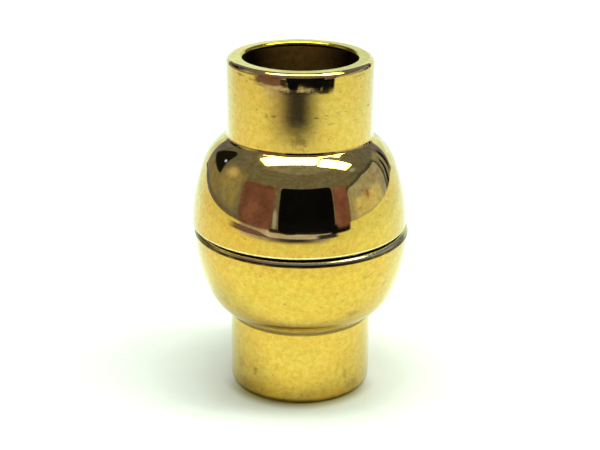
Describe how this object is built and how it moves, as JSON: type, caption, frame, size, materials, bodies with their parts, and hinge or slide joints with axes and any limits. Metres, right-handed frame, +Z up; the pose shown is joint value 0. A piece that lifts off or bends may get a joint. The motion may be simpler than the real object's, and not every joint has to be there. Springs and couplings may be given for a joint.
{
  "type": "magnetic clasp",
  "caption": "Ball-shaped magnetic clasp for a glued-in round cord: each half is a short cord tube with half of the ball, and disc magnets hold the halves together at the seam.",
  "frame": {"origin": "centre of the base, on the surface that the clasp stands on, midway between the axes of the halves", "axes": "+Z up along the clasp, -Y towards the picture's camera, +X to its right"},
  "size_m": [0.012, 0.012, 0.0189],
  "materials": {
    "gold_plate": "polished gold plate with fine turning lines",
    "nickel_plate": "satin nickel plate"
  },
  "bodies": {
    "lower_half": {"lower_shell": "gold_plate", "lower_magnet": "nickel_plate"},
    "upper_half": {"upper_shell": "gold_plate", "upper_magnet": "nickel_plate"}
  },
  "joints": [
    {"name": "pull_apart", "type": "slide", "parent": "lower_half", "child": "upper_half", "axis": [0, 0, 1], "range_m": [0, 0.012]}
  ]
}
